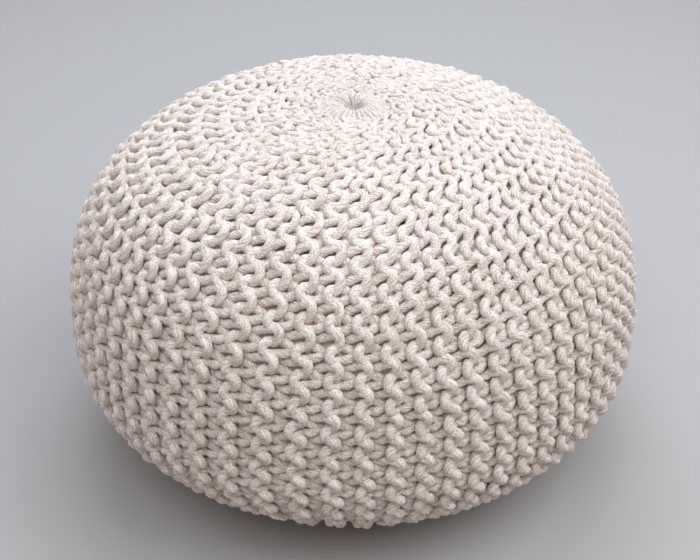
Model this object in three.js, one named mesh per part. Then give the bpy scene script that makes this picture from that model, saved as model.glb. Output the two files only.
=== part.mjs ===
// Knitted floor pouf: one stuffed cover of thick cord in garter stitch, drawn together at an eye on top.
// The ridges of the knitting run from the eye over the crown and down the sides to the flat foot.
// Millimetres, +Z up, origin in the middle of the foot, on the floor.

import * as THREE from "three";

// Overall size of the stuffed cover, over the crests of the ridges. The crown's height leaves out the dip
// around the eye, which takes the pouf down to 350.
const DIAMETER = 550;
const CROWN_HEIGHT = 352;
const GIRTH_HEIGHT = 127;
const FOOT_RADIUS = 110;

// Exponents of the superellipse arcs above and below the girth: 2 is an ellipse, more is squarer
const CROWN_FULLNESS = 2.66;
const BELLY_FULLNESS = 1.8;

// The eye: the innermost stitches pulled together into a dimple, in a shallow dip of the crown
const EYE_RADIUS = 14;
const EYE_DEPTH = 12;
const EYE_THROAT_RADIUS = 6;
const DIP_RADIUS = 40;
const DIP_DEPTH = 5;

// The knitting: equal wedges of long and short rows. One ridge of a wedge starts at the eye,
// and each of the others, spread between, turns back some stitches away from it.
const WEDGES = 11;
const STITCH = 20;
const WEDGE_RIDGES = [
  { stitchesFromEye: 0 },
  { stitchesFromEye: 6 },
  { stitchesFromEye: 3 },
  { stitchesFromEye: 2 },
  { stitchesFromEye: 8 },
  { stitchesFromEye: 4 },
];

// A ridge stands up from its valleys. It is narrow and low where its row turns, and flattens at the foot.
const RIDGE_DEPTH = 11;
const RIDGE_DEPTH_PER_PITCH = 0.5;
const TURN_WIDTH_SHARE = 0.35;
const TURN_LENGTH = 55;
const FOOT_FADE_LENGTH = 70;

// Uneven stuffing: between eye and girth the cover leans and bulges towards these sides
const BULGES = [
  { lobes: 1, towardsDegrees: 190, amount: 2.5 },
  { lobes: 2, towardsDegrees: 35, amount: 1.6 },
  { lobes: 3, towardsDegrees: 100, amount: 1.2 },
];

// Fineness of the rings of points: one for each stitch on the crown, then wider apart
const CROWN_RINGS = 12;
const SIDE_RING_SPACING = 26;
const SECTION_STEPS = 1000;

const RADIUS = DIAMETER / 2;
const WEDGE_ANGLE = 2 * Math.PI / WEDGES;
const RIDGE_ANGLE = WEDGE_ANGLE / WEDGE_RIDGES.length;

// Distance from the centre of a unit superellipse to its edge
function edgeDistance(angle, fullness) {
  const across = Math.abs(Math.sin(angle)) ** fullness;
  const along = Math.abs(Math.cos(angle)) ** fullness;
  return (across + along) ** (-1 / fullness);
}

// Section of the cover from the eye over the girth to the edge of the foot: x is radius, y is height
class Section extends THREE.Curve {
  getPoint(t, target = new THREE.Vector2()) {
    const angle = t * Math.PI;
    return angle < Math.PI / 2 ? this.crownPoint(angle, target) : this.bellyPoint(angle, target);
  }

  crownPoint(angle, target) {
    const edge = edgeDistance(angle, CROWN_FULLNESS);
    const radius = RADIUS * edge * Math.sin(angle);
    const dip = DIP_DEPTH * Math.exp(-((radius / DIP_RADIUS) ** 2));
    return target.set(radius, GIRTH_HEIGHT + (CROWN_HEIGHT - GIRTH_HEIGHT) * edge * Math.cos(angle) - dip);
  }

  bellyPoint(angle, target) {
    const edge = edgeDistance(angle, BELLY_FULLNESS);
    const radius = FOOT_RADIUS + (RADIUS - FOOT_RADIUS) * edge * Math.sin(angle);
    return target.set(radius, GIRTH_HEIGHT * (1 + edge * Math.cos(angle)));
  }
}

const section = new Section();
section.arcLengthDivisions = SECTION_STEPS;
const SECTION_LENGTH = section.getLength();
const GIRTH_DISTANCE = section.getLengths()[SECTION_STEPS / 2];

// Share of its full width and height that a ridge has at a distance from the eye
function ridgeGrowth(ridge, distance) {
  const turn = ridge.stitchesFromEye * STITCH;
  return THREE.MathUtils.smoothstep(distance, turn, turn + TURN_LENGTH);
}

// How far the stuffing pushes the cover out of round
function bulge(angle, distance) {
  const share = Math.min(distance / GIRTH_DISTANCE, 1);
  let push = 0;
  for (const { lobes, towardsDegrees, amount } of BULGES) {
    push += amount * Math.cos(lobes * (angle - THREE.MathUtils.degToRad(towardsDegrees)));
  }
  return push * Math.sin(Math.PI * share) ** 2;
}

// Point of the cover at a distance from the eye along the section, sunk below the crests
function coverPoint(angle, distance, sunk) {
  const share = distance / SECTION_LENGTH;
  const crest = section.getPointAt(share);
  const tangent = section.getTangentAt(share);
  const radius = crest.x + tangent.y * sunk + bulge(angle, distance);
  const height = Math.max(crest.y - tangent.x * sunk, 0);
  return new THREE.Vector3(radius * Math.cos(angle), radius * Math.sin(angle), height);
}

// Angles of a wedge's crests: side by side at their widths, and turned so that on average each ridge
// keeps the angle that it has at the girth
function crestAngles(ridges, widths) {
  let edge = 0;
  const angles = widths.map((width) => {
    edge += width;
    return edge - width / 2;
  });
  const drifts = angles.map((angle, i) => angle - WEDGE_RIDGES.indexOf(ridges[i]) * RIDGE_ANGLE);
  const drift = drifts.reduce((sum, value) => sum + value) / drifts.length;
  return angles.map((angle) => angle - drift);
}

// Ring of named points around the cover: the crest of each ridge that is there, and the valley after it
function coverRing(distance) {
  const ridges = WEDGE_RIDGES.filter((ridge) => ridge.stitchesFromEye * STITCH < distance);
  const growths = ridges.map((ridge) => ridgeGrowth(ridge, distance));
  const widths = growths.map((growth) => THREE.MathUtils.lerp(TURN_WIDTH_SHARE, 1, growth));
  const widthAngle = WEDGE_ANGLE / widths.reduce((sum, width) => sum + width);
  const pitch = WEDGE_ANGLE * section.getPointAt(distance / SECTION_LENGTH).x / ridges.length;
  const fade = THREE.MathUtils.smoothstep(SECTION_LENGTH - distance, 0, FOOT_FADE_LENGTH);
  const depth = fade * Math.min(RIDGE_DEPTH, RIDGE_DEPTH_PER_PITCH * pitch);
  const crests = crestAngles(ridges, widths.map((width) => width * widthAngle));
  const ring = [];
  for (let wedge = 0; wedge < WEDGES; wedge += 1) {
    ridges.forEach((ridge, i) => {
      const name = `wedge ${wedge} stitch ${ridge.stitchesFromEye}`;
      const crestAngle = wedge * WEDGE_ANGLE + crests[i];
      const valleyAngle = crestAngle + widths[i] * widthAngle / 2;
      const crestSunk = depth * (1 - growths[i]);
      ring.push({ name: `${name} crest`, point: coverPoint(crestAngle, distance, crestSunk) });
      ring.push({ name: `${name} valley`, point: coverPoint(valleyAngle, distance, depth) });
    });
  }
  return ring;
}

// The eye's throat: the innermost ring pulled in and down
function throatRing(ring) {
  return ring.map(({ name, point }) => {
    const throat = point.clone().setZ(0).setLength(EYE_THROAT_RADIUS).setZ(point.z - EYE_DEPTH);
    return { name, point: throat };
  });
}

function ringDistances() {
  const distances = Array.from({ length: CROWN_RINGS }, (_, i) => EYE_RADIUS + i * STITCH);
  const side = SECTION_LENGTH - distances.at(-1);
  const sideRings = Math.round(side / SIDE_RING_SPACING);
  for (let i = 1; i <= sideRings; i += 1) {
    distances.push(distances[CROWN_RINGS - 1] + i * side / sideRings);
  }
  return distances;
}

// Triangles between two rings. A ridge that starts in the lower ring grows out of the valley it parts.
function joinRings(triangles, upper, lower) {
  const upperByName = new Map(upper.map((vertex) => [vertex.name, vertex]));
  let above = upper[0];
  const parents = lower.map((vertex) => {
    above = upperByName.get(vertex.name) ?? above;
    return above;
  });
  lower.forEach((vertex, i) => {
    const next = (i + 1) % lower.length;
    triangles.push(vertex.index, lower[next].index, parents[next].index);
    if (parents[i] !== parents[next]) {
      triangles.push(vertex.index, parents[next].index, parents[i].index);
    }
  });
}

// Fan of triangles from the middle of a ring to its points
function closeRing(triangles, ring, middleIndex) {
  ring.forEach((vertex, i) => {
    triangles.push(middleIndex, vertex.index, ring[(i + 1) % ring.length].index);
  });
}

function coverGeometry() {
  const outside = ringDistances().map(coverRing);
  const throat = throatRing(outside[0]);
  const rings = [throat, ...outside];
  const points = [];
  for (const vertex of rings.flat()) {
    vertex.index = points.push(vertex.point) - 1;
  }
  const eyeIndex = points.push(new THREE.Vector3(0, 0, throat[0].point.z)) - 1;
  const footIndex = points.push(new THREE.Vector3(0, 0, 0)) - 1;
  const triangles = [];
  outside.forEach((ring, i) => joinRings(triangles, rings[i], ring));
  closeRing(triangles, throat, eyeIndex);
  closeRing(triangles, outside.at(-1).toReversed(), footIndex);
  const geometry = new THREE.BufferGeometry().setFromPoints(points);
  geometry.setIndex(triangles);
  geometry.computeVertexNormals();
  return geometry;
}

const cotton = new THREE.MeshStandardMaterial({ color: 0xd9cec5, roughness: 0.95, metalness: 0 });

const cover = new THREE.Mesh(coverGeometry(), cotton);
cover.name = "knitted_cover";

const pouf = new THREE.Group();
pouf.add(cover);

export default pouf;
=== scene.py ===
# Knitted cotton pouf: thick cord in garter stitch over a stuffed body, drawn together at an eye on top.
# Metres, +Z up, the middle of the flat foot at the origin.
import math

import bpy
import numpy as np
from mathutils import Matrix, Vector


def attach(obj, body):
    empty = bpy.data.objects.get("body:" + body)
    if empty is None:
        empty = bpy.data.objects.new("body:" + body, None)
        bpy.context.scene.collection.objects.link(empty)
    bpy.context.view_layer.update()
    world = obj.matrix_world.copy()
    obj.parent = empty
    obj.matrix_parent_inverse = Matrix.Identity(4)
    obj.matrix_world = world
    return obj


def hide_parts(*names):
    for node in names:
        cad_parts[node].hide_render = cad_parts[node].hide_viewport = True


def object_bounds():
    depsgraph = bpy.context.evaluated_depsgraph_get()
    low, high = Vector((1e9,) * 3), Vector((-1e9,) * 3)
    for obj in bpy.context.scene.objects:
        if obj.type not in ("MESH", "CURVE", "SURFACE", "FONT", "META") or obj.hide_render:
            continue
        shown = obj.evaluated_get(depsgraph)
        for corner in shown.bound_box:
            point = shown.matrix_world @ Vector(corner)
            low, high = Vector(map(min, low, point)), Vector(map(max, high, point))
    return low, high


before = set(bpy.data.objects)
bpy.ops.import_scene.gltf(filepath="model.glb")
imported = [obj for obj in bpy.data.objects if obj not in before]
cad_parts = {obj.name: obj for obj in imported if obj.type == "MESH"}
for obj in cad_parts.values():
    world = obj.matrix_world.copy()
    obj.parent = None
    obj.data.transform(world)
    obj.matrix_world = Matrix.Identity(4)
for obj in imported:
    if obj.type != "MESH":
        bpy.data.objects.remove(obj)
cadLow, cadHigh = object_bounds()
print("frame loaded:", sorted(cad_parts))

rng = np.random.default_rng(72)
scene = bpy.context.scene

# camera: in front of the pouf, looking down on its crown
camera = {
    "focalPixels": 1200.0,   # focal length and width of the picture, in pixels
    "frameWidth": 700.0,
    "sensor": 36.0,
    "elevation": 33.16,      # degrees above the floor
    "distance": 1.189,
    "aimHeight": 0.1572,
    "aimSide": -0.0035,
}


def addCamera():
    data = bpy.data.cameras.new("photoCamera")
    data.sensor_width = camera["sensor"]
    data.lens = camera["sensor"] * camera["focalPixels"] / camera["frameWidth"]
    obj = bpy.data.objects.new("photoCamera", data)
    scene.collection.objects.link(obj)
    tilt = math.radians(camera["elevation"])
    reach = camera["distance"]
    obj.location = (camera["aimSide"], -reach * math.cos(tilt), camera["aimHeight"] + reach * math.sin(tilt))
    obj.rotation_euler = (math.pi / 2 - tilt, 0, 0)
    scene.camera = obj


addCamera()
print("camera placed")


# shape of the stuffed pouf, over the crests of the knitting
pouf = {
    "radius": (cadHigh.x - cadLow.x) / 2,
    "crownHeight": cadHigh.z + 0.002,    # the dip around the eye takes this back down
    "girthHeight": 0.127,
    "footRadius": 0.110,
    "crownFullness": 2.66,               # 2 is an ellipse, more is squarer
    "bellyFullness": 1.8,
    "dipRadius": 0.040,
    "dipDepth": 0.005,
    "bulges": ((1, 190, 0.0025), (2, 35, 0.0016), (3, 100, 0.0012)),   # lobes, towards, amount
    "steps": 1500,
}


def edgeDistance(angle, fullness):
    return (np.abs(np.sin(angle)) ** fullness + np.abs(np.cos(angle)) ** fullness) ** (-1 / fullness)


def outerSection():
    # radius and height: eye, crown, girth, belly, then in along the foot
    steps = pouf["steps"]
    crown = np.linspace(0, math.pi / 2, steps)
    edge = edgeDistance(crown, pouf["crownFullness"])
    crownR = pouf["radius"] * edge * np.sin(crown)
    crownZ = pouf["girthHeight"] + (pouf["crownHeight"] - pouf["girthHeight"]) * edge * np.cos(crown)
    crownZ = crownZ - pouf["dipDepth"] * np.exp(-(crownR / pouf["dipRadius"]) ** 2)
    belly = np.linspace(math.pi / 2, math.pi, steps)[1:]
    edge = edgeDistance(belly, pouf["bellyFullness"])
    bellyR = pouf["footRadius"] + (pouf["radius"] - pouf["footRadius"]) * edge * np.sin(belly)
    bellyZ = pouf["girthHeight"] * (1 + edge * np.cos(belly))
    footR = np.linspace(pouf["footRadius"], 0, steps // 3)[1:]
    return np.concatenate([crownR, bellyR, footR]), np.concatenate([crownZ, bellyZ, 0 * footR])


class Skin:
    # a surface a set depth under the crests, looked up by distance from the eye
    def __init__(self, inset):
        r, z = outerSection()
        outR, outZ = -np.gradient(z), np.gradient(r)
        size = np.hypot(outR, outZ)
        self.outR, self.outZ = outR / size, outZ / size
        self.r, self.z = np.maximum(r - inset * self.outR, 0), z - inset * self.outZ
        self.s = np.concatenate([[0], np.cumsum(np.hypot(np.diff(self.r), np.diff(self.z)))])
        self.length = self.s[-1]
        self.girth = self.s[np.argmax(self.r)]

    def radius(self, s):
        return np.interp(s, self.s, self.r)

    def bulge(self, s, angle):
        share = np.clip(s / self.girth, 0, 1)
        push = sum(size * np.cos(lobes * (angle - math.radians(to))) for lobes, to, size in pouf["bulges"])
        return push * np.sin(math.pi * share) ** 2

    def place(self, s, angle, lift):
        # point and outward direction at a distance from the eye and an angle round it
        outR, outZ = np.interp(s, self.s, self.outR), np.interp(s, self.s, self.outZ)
        size = np.hypot(outR, outZ)
        outR, outZ = outR / size, outZ / size
        r = self.radius(s) + lift * outR + self.bulge(s, angle)
        z = np.interp(s, self.s, self.z) + lift * outZ
        out = np.stack([outR * np.cos(angle), outR * np.sin(angle), outZ], -1)
        return np.stack([r * np.cos(angle), r * np.sin(angle), z], -1), out


def smooth(value, low, high):
    share = np.clip((value - low) / (high - low), 0, 1)
    return share * share * (3 - 2 * share)


def blend(value, ends, low, high):
    return low + (high - low) * smooth(value, *ends)


def series(wave, terms, t, first):
    return sum(term * wave((first + i) * t) for i, term in enumerate(terms))


def addPiece(name, mesh, material):
    obj = bpy.data.objects.new(name, mesh)
    scene.collection.objects.link(obj)
    mesh.materials.append(material)
    return obj


# shader maths: a wrapped socket, so that sums are written as sums
class Sock:
    def __init__(self, tree, socket=None):
        self.tree, self.socket = tree, socket

    def node(self, kind, settings=None, inputs=None, output=0):
        made = self.tree.nodes.new(kind)
        for key, value in (settings or {}).items():
            setattr(made, key, value)
        for key, value in (inputs or {}).items():
            if isinstance(value, Sock):
                self.tree.links.new(value.socket, made.inputs[key])
            else:
                made.inputs[key].default_value = value
        return Sock(self.tree, made.outputs[output])

    def maths(self, operation, *values):
        return self.node("ShaderNodeMath", {"operation": operation}, dict(enumerate(values)))

    def part(self, index):
        return self.node("ShaderNodeSeparateXYZ", None, {0: self}, index)

    def feed(self, shader, name):
        self.tree.links.new(self.socket, shader.inputs[name])

    def __add__(self, other):
        return self.maths("ADD", self, other)

    def __radd__(self, other):
        return self.maths("ADD", other, self)

    def __sub__(self, other):
        return self.maths("SUBTRACT", self, other)

    def __rsub__(self, other):
        return self.maths("SUBTRACT", other, self)

    def __mul__(self, other):
        return self.maths("MULTIPLY", self, other)

    def __rmul__(self, other):
        return self.maths("MULTIPLY", other, self)


def newMaterial(name):
    material = bpy.data.materials.new(name)
    material.use_nodes = True
    tree = material.node_tree
    return material, Sock(tree), tree.nodes["Principled BSDF"]


cottonCord = {
    "light": (0.92, 0.838, 0.778, 1),
    "dark": (0.56, 0.468, 0.40, 1),
    "strandTone": 3.8,        # how much the plies, the fibres and larger patches lighten the cord
    "fibreTone": 4.6,
    "patchTone": 0.5,
    "belowDark": 3.82,        # taken off their sum, so that 0 is the dark colour and 1 the light one
    "roughness": 0.92,
    "specular": 0.2,
    "sheen": 0.25,
    "sheenRoughness": 0.5,
    "lay": 0.030,             # length of one full turn of the plies
    "strands": 3.2,           # fineness of the plies round the cord, and how soon they change along it
    "strandChange": 90.0,
    "strandDepth": 0.0018,
    "fibreScale": 800.0,
    "fibreDepth": 0.0016,
    "patchScale": 30.0,
    "spool": 50.0,            # a cord is cut from anywhere in this length, so that no two match
}


def cottonCordMaterial():
    look = cottonCord
    material, start, shader = newMaterial("cottonCord")
    uv = start.node("ShaderNodeUVMap", {"uv_map": "cord"})
    run, turn = uv.part(0), uv.part(1)
    twist = (turn + run * (1 / look["lay"])) * (2 * math.pi)
    strandPlace = start.node("ShaderNodeCombineXYZ", None, {
        0: run * look["strandChange"],
        1: start.maths("COSINE", twist) * look["strands"],
        2: start.maths("SINE", twist) * look["strands"],
    })
    strand = start.node("ShaderNodeTexNoise", None, {"Vector": strandPlace, "Scale": 1.0, "Detail": 2.0})
    here = start.node("ShaderNodeNewGeometry")
    fibre = start.node("ShaderNodeTexNoise", None,
                       {"Vector": here, "Scale": look["fibreScale"], "Detail": 3.0, "Roughness": 0.6})
    patch = start.node("ShaderNodeTexNoise", None,
                       {"Vector": here, "Scale": look["patchScale"], "Detail": 2.0})
    tone = look["strandTone"] * strand + look["fibreTone"] * fibre + look["patchTone"] * patch
    tone = tone - look["belowDark"]
    colour = start.node("ShaderNodeMix", {"data_type": "RGBA", "clamp_factor": True},
                        {0: tone, 6: look["dark"], 7: look["light"]}, output=2)
    height = strand * look["strandDepth"] + fibre * look["fibreDepth"]
    bump = start.node("ShaderNodeBump", None, {"Strength": 1.0, "Distance": 1.0, "Height": height})
    colour.feed(shader, "Base Color")
    bump.feed(shader, "Normal")
    shader.inputs["Roughness"].default_value = look["roughness"]
    shader.inputs["Sheen Weight"].default_value = look["sheen"]
    shader.inputs["Sheen Roughness"].default_value = look["sheenRoughness"]
    shader.inputs["Specular IOR Level"].default_value = look["specular"]
    return material


cordMaterial = cottonCordMaterial()
print("cord material made")


def cordRings(points, out, wide, high, sides):
    # points round a path, as wide and as high as the cord is there
    along = np.gradient(points, axis=0)
    along /= np.linalg.norm(along, axis=1)[:, None]
    side = np.cross(along, out)
    side /= np.linalg.norm(side, axis=1)[:, None]
    up = np.cross(side, along)
    turn = 2 * math.pi * np.arange(sides) / sides
    sideways = (wide[:, None] * np.cos(turn))[:, :, None] * side[:, None]
    upwards = (high[:, None] * np.sin(turn))[:, :, None] * up[:, None]
    return (points[:, None] + sideways + upwards).reshape(-1, 3)


def cordFaces(rings, sides, base):
    # the faces along a cord, and the two caps that close it
    around = np.arange(sides)
    after = (around + 1) % sides
    here = np.arange(rings - 1)[:, None] * sides + base
    there = here + sides
    quads = np.stack([here + around, here + after, there + after, there + around], -1).reshape(-1, 4)
    caps = np.stack([base + around[::-1], base + (rings - 1) * sides + around])
    return quads, caps


def cordUv(points, sides):
    # metres along the cord and turns around it, at the corners of its faces and of its caps
    around = np.arange(sides) / sides
    steps = np.linalg.norm(np.diff(points, axis=0), axis=1)
    run = rng.uniform(0, cottonCord["spool"]) + np.concatenate([[0], np.cumsum(steps)])
    u0, u1 = np.repeat(run[:-1], sides), np.repeat(run[1:], sides)
    v0 = np.tile(around, len(steps))
    v1 = v0 + 1 / sides
    quadUv = np.stack([u0, v0, u0, v1, u1, v1, u1, v0], -1).reshape(-1, 2)
    startUv = np.stack([np.full(sides, run[0]), around[::-1]], -1)
    endUv = np.stack([np.full(sides, run[-1]), around], -1)
    return quadUv, np.concatenate([startUv, endUv])


# one mesh of many cords, each given as points, outward directions, half widths and half heights
def cordMesh(name, cords, sides):
    verts, quads, caps, quadUv, capUv = [], [], [], [], []
    base = 0
    for points, out, wide, high in cords:
        rings = len(points)
        verts.append(cordRings(points, out, wide, high, sides))
        faces = cordFaces(rings, sides, base)
        quads.append(faces[0])
        caps.append(faces[1])
        uv = cordUv(points, sides)
        quadUv.append(uv[0])
        capUv.append(uv[1])
        base += rings * sides
    verts = np.concatenate(verts)
    quads = np.concatenate(quads)
    caps = np.concatenate(caps)
    mesh = bpy.data.meshes.new(name)
    mesh.vertices.add(len(verts))
    mesh.vertices.foreach_set("co", verts.astype(np.float32).ravel())
    corners = np.concatenate([quads.ravel(), caps.ravel()])
    mesh.loops.add(len(corners))
    mesh.loops.foreach_set("vertex_index", corners.astype(np.int32))
    starts = np.concatenate([np.arange(len(quads)) * 4, len(quads) * 4 + np.arange(len(caps)) * sides])
    mesh.polygons.add(len(starts))
    mesh.polygons.foreach_set("loop_start", starts.astype(np.int32))
    mesh.update(calc_edges=True)
    mesh.uv_layers.new(name="cord")
    uv = np.concatenate(quadUv + capUv)
    mesh.uv_layers["cord"].data.foreach_set("uv", uv.astype(np.float32).ravel())
    mesh.shade_smooth()
    return mesh


# the knitting: wedges of long and short rows, two rows to a ridge, each row one cord of linked loops
knit = {
    "wedges": 11,
    "turnsAfter": (1, 6, 4, 2, 8, 5),          # stitches from the eye where each ridge of a wedge turns
    "turnWidth": 0.5,                          # share of its width where a ridge turns, and how soon it fills
    "turnLength": 0.055,
    "layoutStep": 0.002,                       # spacing of the distances at which the ridges are laid out
    "endGap": 0.002,                           # rows stay this far from the middle of the top and of the foot
    "leastRadius": 0.004,                      # smallest radius a row is laid out with, by the eye
    "stitch": 0.0213,
    "crownStitch": 0.0256,                     # stitches are longer on the crown, out to these distances
    "crownEnds": (0.16, 0.28),
    "eyeStitch": 0.0160,                       # and short, thin and flat by the eye, up to these distances
    "eyeCord": 0.74,
    "eyeEnds": (0.03, 0.13),
    "eyeRelief": 0.45,
    "reliefEnds": (0.03, 0.17),
    "cord": 0.0089,                            # thickness of the cord
    "thinCord": (0.0040, 0.290),               # where ridges crowd: thickness, plus a share of their pitch
    "taut": 0.18,                              # how much thinner the pulled legs are than the bows
    "flatCord": (0.72, 0.95),                  # height as a share of width, on crowded and on full ridges
    "flatCordEnds": (0.014, 0.024),
    "bow": 0.0045,                             # a bow stands this far from the ridge's middle
    "crownBow": 0.0056,
    "bowShare": 0.34,                          # at most this share of the ridge, and less under this pitch
    "bowFade": 0.012,
    "front": 0.0060,                           # about how far the bows stand out
    "flatBelow": 0.025,                        # ridge pitch under which the loops lie flatter, and how fast
    "flatPower": 0.8,
    "flatRaise": 0.7,                          # share of the lost height by which flat loops are raised again
    "valleyEnds": (0.017, 0.024),              # pitch of narrow and of full valleys
    "narrowDepth": 0.003,                      # how much deeper the narrow ones are
    "tuck": 0.0040,                            # how far legs duck beside the bows of their own ridge
    "tuckReach": 0.15,
    "dive": 0.016,                             # how far a row's ends go under, over this much of a loop
    "diveTurn": 1.6,
    # lobes, widest ridges towards, and turn of the rows in radians
    "stretch": ((1, -203, 0.0401), (2, -129, 0.0211), (3, -104, 0.0103),
                (5, -105, 0.0052), (6, -105, 0.0077)),
    "wander": 0.0008,                          # slow drift of the rows, in waves round and down the pouf
    "waves": 8,
    "mostLobes": 8,
    "wavePace": 50,
    "driftEnds": (0.02, 0.10),                 # stretch and drift set in between these radii
    "uneven": 0.0005,                          # unevenness of single loops, in place and in size
    "unevenSize": 0.04,
    "pointsPerStitch": 16,
    "crowding": 0.45,                          # points crowd to the front of a loop
    "sides": 7,
}

# shape of a row's loops from their front bow: sine terms along the row in shares of a stitch, cosine terms
# across it in shares of the ridge pitch, and cosine terms out of the cover in metres
overRow = {
    "along": (-0.1150, 0.2250, -0.0232, 0.0084, 0.0164),
    "across": (-0.4191, 0.5570, 0.0229, 0.0215, 0.0050, 0.0020),
    "lift": (-0.00122, 0.00627, -0.00088, 0.00109, 0.00056, -0.00031),
    "skew": -0.0009,                           # raises the upper arm of a bow, or below zero the lower one
    "twist": 0.0,                              # raises the upper arm and, behind it, the lower leg
    "swing": -0.06,                            # sets both legs of a loop to one side
}
underRow = {
    "along": (-0.0382, 0.1981, -0.0199, 0.0120, 0.0164),
    "across": (-0.3915, 0.5445, 0.0029, 0.0253, 0.0109, -0.0023),
    "lift": (-0.00058, 0.00504, 0.00052, 0.00032, 0.00015, 0.00003),
    "skew": 0.0012,
    "twist": 0.0024,
    "swing": 0.21,
}
knitSkin = Skin(knit["front"] + knit["cord"] / 2)


# stitches counted from the eye, at each distance
layoutS = np.arange(0, knitSkin.length, knit["layoutStep"])
stitchLength = blend(layoutS, knit["crownEnds"], knit["crownStitch"], knit["stitch"])
stitchLength = stitchLength - blend(layoutS, knit["eyeEnds"], knit["crownStitch"] - knit["eyeStitch"], 0)
stitchCount = np.cumsum(knit["layoutStep"] / stitchLength)


def ridgeSpans():
    # stitches from the eye where each ridge of a wedge starts and ends, whole so that all ridges keep step
    start = np.array(knit["turnsAfter"])
    return start, np.round(stitchCount[-1]) - start


def ridgeLayout():
    # middle, width, and steps to the ridges on both sides, for each ridge of a wedge at each distance
    s = layoutS
    start, end = np.interp(ridgeSpans(), stitchCount, layoutS)
    count = len(start)
    half = knit["stitch"] / 2
    tiny = 1e-6      # keeps the sums above zero where no ridge has started
    edge = np.minimum(s[None] - start[:, None], end[:, None] - s[None])
    growth = smooth(edge, 0, knit["turnLength"])
    here = smooth(edge, -half, half)
    share = np.where(edge > -half, knit["turnWidth"] + (1 - knit["turnWidth"]) * growth, 0) * here
    wedge = 2 * math.pi / knit["wedges"]
    width = wedge * share / np.maximum(share.sum(0), tiny)
    middle = np.cumsum(width, 0) - width / 2
    even = wedge / count * np.arange(count)[:, None]
    drift = (here * (middle - even)).sum(0) / np.maximum(here.sum(0), tiny)
    middle = middle - drift
    after = np.zeros_like(width)
    before = np.zeros_like(width)
    for k in range(count):
        stepAfter = np.full(len(s), wedge)
        stepBefore = np.full(len(s), wedge)
        for hop in range(count, 0, -1):
            turn, j = divmod(k + hop, count)
            stepAfter = stepAfter + (middle[j] + turn * wedge - middle[k] - stepAfter) * here[j]
            turn, j = divmod(k - hop, count)
            stepBefore = stepBefore + (middle[k] - middle[j] - turn * wedge - stepBefore) * here[j]
        after[k], before[k] = stepAfter, stepBefore
    return {"middle": middle, "width": width, "after": after, "before": before}


layout = ridgeLayout()


def ridgeValue(name, ridge, s):
    return np.interp(s, layoutS, layout[name][ridge])


# slow drift of the knitting over the cover, the same for neighbouring rows
def newWave():
    lobes = rng.integers(1, knit["mostLobes"] + 1)
    return lobes, rng.uniform(-knit["wavePace"], knit["wavePace"]), rng.uniform(0, 2 * math.pi)


roundWaves = [newWave() for _ in range(knit["waves"])]
downWaves = [newWave() for _ in range(knit["waves"])]


def wander(s, angle, waves):
    push = sum(np.cos(lobes * angle + pace * s + phase) for lobes, pace, phase in waves)
    return knit["wander"] * push


def stretch(angle):
    return sum(turn * np.sin(lobes * (angle - math.radians(to))) for lobes, to, turn in knit["stretch"])


def loopPhase(stitches, odd):
    # phase along a row, a turn from bow to bow, and four kinds of unevenness that change from bow to legs
    turn = np.linspace(0, 2 * math.pi * stitches, stitches * knit["pointsPerStitch"] + 1)
    turn = turn if odd else turn - math.pi
    t = turn - knit["crowding"] * np.sin(turn)
    knots = turn[0] + np.arange(2 * stitches + 2) * math.pi
    jitter = rng.normal(0, 1, (4, len(knots)))
    return t, [np.interp(t, knots, values) for values in jitter]


def legShare(t):
    # 0 at a loop's bow, 1 at its back
    return (1 - np.cos(t)) / 2


def valleyShare(pitch):
    return smooth(pitch, *knit["valleyEnds"])


def cordSize(s, t, pitch):
    # half width and half height
    thin, thicken = knit["thinCord"]
    wide = np.minimum(knit["cord"], thin + thicken * pitch) / 2
    wide = wide * blend(s, knit["eyeEnds"], knit["eyeCord"], 1)
    wide = wide * (1 - knit["taut"] * valleyShare(pitch) * legShare(t))
    return wide, wide * blend(pitch, knit["flatCordEnds"], *knit["flatCord"])


def loopLift(row, s, t, pitch, beside, high, onLift):
    # height over the skin, where beside is the distance across from the other row's bows that the legs pass
    full = valleyShare(pitch)
    flat = np.minimum(1, pitch / knit["flatBelow"]) ** knit["flatPower"]
    flat = flat * blend(s, knit["reliefEnds"], knit["eyeRelief"], 1)
    lift = series(np.cos, row["lift"], t, 0) - row["skew"] * np.sin(t) - full * row["twist"] * np.sin(2 * t)
    tuck = knit["tuck"] * np.exp(-(beside / knit["tuckReach"]) ** 2)
    lift = flat * (lift - full * tuck - (1 - full) * knit["narrowDepth"] * legShare(t) ** 2)
    lost = (1 - flat) * knit["front"] + knit["cord"] / 2 - high
    lift = lift + knit["uneven"] * onLift + knit["flatRaise"] * lost
    fromEnd = np.minimum(t - t[0], t[-1] - t)
    return lift - knit["dive"] * (1 - smooth(fromEnd, 0, knit["diveTurn"]))


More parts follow.
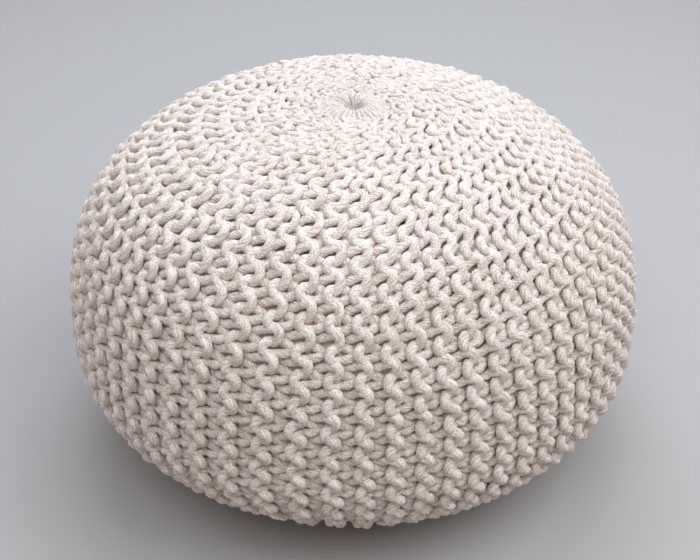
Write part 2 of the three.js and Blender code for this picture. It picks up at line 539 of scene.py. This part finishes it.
def rowPath(wedgeIndex, ridge, odd):
    row = overRow if odd else underRow
    first, last = (stitches[ridge] for stitches in ridgeSpans())
    t, (onAlong, onAcross, onLift, onSize) = loopPhase(int(last - first), odd)

    # along the row, with the ridge's own width and the step to the ridge that the legs reach for
    at = (t - t[0]) / (2 * math.pi) + series(np.sin, row["along"], t, 1) + row["swing"] * np.sin(t) ** 2
    s = np.interp(first + at, stitchCount, layoutS)
    width = ridgeValue("width", ridge, s)
    step = ridgeValue("after" if odd else "before", ridge, s)
    middle = wedgeIndex * 2 * math.pi / knit["wedges"] + ridgeValue("middle", ridge, s)
    radius = np.maximum(knitSkin.radius(s), knit["leastRadius"])
    pitch = radius * (width + step) / 2

    # across it, the bow on one side of the ridge's middle and the legs away on the other
    share = series(np.cos, row["across"], t, 0) * (1 + knit["unevenSize"] * onSize)
    top = sum(row["across"])
    bow = blend(s, knit["crownEnds"], knit["crownBow"], knit["bow"])
    bow = np.minimum(bow, knit["bowShare"] * radius * width * smooth(pitch, 0, knit["bowFade"])) / radius
    reach = np.maximum(share, -top) / top * bow
    reach = reach + np.minimum(share + top, 0) * (step - bow) / (1 - top)
    angle = middle + (-reach if odd else reach) + knit["uneven"] * onAcross / radius

    drift = smooth(radius, *knit["driftEnds"])
    angle = angle + drift * stretch(angle)
    angle = angle + drift * wander(s, angle, roundWaves) / radius
    s = s + drift * wander(s, angle, downWaves) + knit["uneven"] * onAlong
    s = np.clip(s, knit["endGap"], knitSkin.length - knit["endGap"])

    wide, high = cordSize(s, t, pitch)
    points, out = knitSkin.place(s, angle, loopLift(row, s, t, pitch, share + top, high, onLift))
    points[:, 2] = np.maximum(points[:, 2], high)      # the foot lies on the floor
    return points, out, wide, high


def makeKnit():
    pieces = []
    for wedgeIndex in range(knit["wedges"]):
        rows = []
        for ridge in range(len(knit["turnsAfter"])):
            rows.append(rowPath(wedgeIndex, ridge, False))
            rows.append(rowPath(wedgeIndex, ridge, True))
        name = f"knit_wedge_{wedgeIndex + 1}"
        pieces.append(addPiece(name, cordMesh(name, rows, knit["sides"]), cordMaterial))
    return pieces


knitPieces = makeKnit()
triangles = sum(len(piece.data.loops) - 2 * len(piece.data.polygons) for piece in knitPieces)
print("knit made:", len(knitPieces), "wedges,", triangles, "triangles")


# the drawn eye: thin strands gathered from under the first stitches over a soft rim into the throat
eye = {
    "strands": 32,
    # from the throat outwards: distance from the middle, height over the crests, and thickness
    "radii": (0.0028, 0.0050, 0.0076, 0.0099, 0.0138, 0.0210, 0.0310),
    "lifts": (-0.0102, -0.0088, -0.0057, -0.0021, -0.0004, -0.0016, -0.0066),
    "thick": (0.0009, 0.0013, 0.0018, 0.0024, 0.0033, 0.0046, 0.0054),
    "thickSpread": (0.9, 1.12),
    "sidestep": 0.1,                           # how unevenly the strands are spaced
    "uneven": 0.0006,                          # how far one sways, and rises or sinks away from the throat
    "riseEnds": (0.2, 0.6),
    "softening": (1, 2, 3, 2, 1),              # weights that round the path through the listed places
    "points": 28,
    "sides": 6,
}


def eyeStrand(skin, index, atFoot):
    q = np.linspace(0, 1, eye["points"])
    listed = np.linspace(0, 1, len(eye["radii"]))
    weights = np.array(eye["softening"]) / sum(eye["softening"])
    soft = {}
    for key in ("radii", "lifts", "thick"):
        raw = np.interp(q, listed, eye[key])
        longer = np.pad(raw, len(weights) // 2, "reflect", reflect_type="odd")
        soft[key] = np.convolve(longer, weights, "valid")
    s = soft["radii"]
    angle = 2 * math.pi * (index + rng.uniform(-eye["sidestep"], eye["sidestep"])) / eye["strands"]
    sway = rng.normal(0, eye["uneven"]) * np.sin(math.pi * q) * q / s
    lift = soft["lifts"] + rng.uniform(-1, 1) * eye["uneven"] * smooth(q, *eye["riseEnds"])
    radii = soft["thick"] / 2 * rng.uniform(*eye["thickSpread"])
    place = skin.length - s if atFoot else s
    points, out = skin.place(place, angle + sway, lift)
    if atFoot:
        points[:, 2] = np.maximum(points[:, 2], radii)
    return points, out, radii, radii


def makeEye(name, atFoot):
    skin = Skin(0)
    strands = [eyeStrand(skin, i, atFoot) for i in range(eye["strands"])]
    return addPiece(name, cordMesh(name, strands, eye["sides"]), cordMaterial)


eyePieces = [makeEye("eye_gather", False), makeEye("foot_gather", True)]
print("eye gathered")


# the stuffed body that fills the cover, seen only in the gaps between stitches; its tan to brown colour,
# darker and browner than the cord, is painted warm shade for those gaps
body = {
    "inset": 0.0142,
    "crownInset": 0.0010,      # deeper still under the crown, where the valleys are deep
    "crownEnds": (0.16, 0.26),
    "eyeDepth": 0.016,
    "rings": 64,
    "around": 96,
    # a real filling, but these two browns are painted warm shade for the gaps, not the colour of its cloth
    "light": (0.82, 0.69, 0.56, 1),
    "dark": (0.64, 0.51, 0.40, 1),
    "weaveScale": 700.0,
    "roughness": 0.95,
}


def bodyShadeMaterial():
    material, start, shader = newMaterial("bodyClothShade")
    here = start.node("ShaderNodeNewGeometry")
    weave = start.node("ShaderNodeTexNoise", None,
                       {"Vector": here, "Scale": body["weaveScale"], "Detail": 3.0})
    # weave grain mixed between two browns that paint the warm shade seen in the gaps
    colour = start.node("ShaderNodeMix", {"data_type": "RGBA"},
                        {0: weave, 6: body["dark"], 7: body["light"]}, output=2)
    colour.feed(shader, "Base Color")
    shader.inputs["Roughness"].default_value = body["roughness"]
    return material


def makeBody():
    skin = Skin(body["inset"])
    rings, n = body["rings"], body["around"]
    s = np.linspace(0, skin.length, rings + 2)[1:-1]
    angle = np.arange(n) * 2 * math.pi / n
    sunk = body["crownInset"] * (1 - smooth(s, *body["crownEnds"]))
    points, _ = skin.place(np.repeat(s, n), np.tile(angle, rings), -np.repeat(sunk, n))
    verts = [*points.tolist(), (0, 0, skin.z[0] - sunk[0] - body["eyeDepth"]), (0, 0, skin.z[-1])]
    faces = []
    for i in range(rings - 1):
        for j in range(n):
            k = (j + 1) % n
            faces.append((i * n + j, (i + 1) * n + j, (i + 1) * n + k, i * n + k))
    top, bottom = len(verts) - 2, len(verts) - 1
    last = (rings - 1) * n
    faces += [(top, j, (j + 1) % n) for j in range(n)]
    faces += [(bottom, last + (j + 1) % n, last + j) for j in range(n)]
    mesh = bpy.data.meshes.new("stuffed_body")
    mesh.from_pydata(verts, [], faces)
    mesh.shade_smooth()
    return addPiece("stuffed_body", mesh, bodyShadeMaterial())


stuffedBody = makeBody()
print("stuffed body made")

for piece in [stuffedBody, *knitPieces, *eyePieces]:
    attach(piece, "root")
    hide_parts("knitted_cover")


# pale floor, soft lights from above and a warm glow all round
stage = {
    "floorSize": 12.0,
    "floorColour": (0.36, 0.355, 0.35, 1),
    "floorRoughness": 0.85,
    "glowColour": (1.0, 0.81, 0.675, 1),
    "glow": 0.40,
    "aim": (0, 0, 0.2),
    "cool": (0.83, 1.0, 1.19),
    "plain": (0.955, 0.995, 1.07),
    "lights": (
        {"name": "backSoft", "place": (0.0, 1.3, 2.1), "size": 2.0, "power": 38, "colour": "cool"},
        {"name": "frontSoft", "place": (0.0, -1.25, 2.1), "size": 2.0, "power": 26, "colour": "plain"},
        {"name": "rightSoft", "place": (1.45, -0.4, 1.85), "size": 2.0, "power": 33, "colour": "plain"},
        {"name": "leftSoft", "place": (-1.4, -0.3, 1.9), "size": 2.0, "power": 8, "colour": "cool"},
    ),
}


def addLight(name, place, size, power, colour):
    data = bpy.data.lights.new(name, "AREA")
    data.shape, data.size, data.energy = "DISK", size, power
    data.color = stage[colour]
    obj = bpy.data.objects.new(name, data)
    scene.collection.objects.link(obj)
    obj.location = place
    direction = Vector(stage["aim"]) - Vector(place)
    obj.rotation_euler = direction.to_track_quat("-Z", "Y").to_euler()


def addStage():
    h = stage["floorSize"] / 2
    mesh = bpy.data.meshes.new("floor")
    mesh.from_pydata([(-h, -h, 0), (h, -h, 0), (h, h, 0), (-h, h, 0)], [], [(0, 1, 2, 3)])
    material, _, shader = newMaterial("floorPaint")
    shader.inputs["Base Color"].default_value = stage["floorColour"]
    shader.inputs["Roughness"].default_value = stage["floorRoughness"]
    addPiece("floor", mesh, material)
    world = bpy.data.worlds.new("studio")
    world.use_nodes = True
    background = world.node_tree.nodes["Background"]
    background.inputs["Color"].default_value = stage["glowColour"]
    background.inputs["Strength"].default_value = stage["glow"]
    scene.world = world
    for light in stage["lights"]:
        addLight(**light)


addStage()
scene.view_settings.view_transform = "Standard"
print("stage and lights placed")
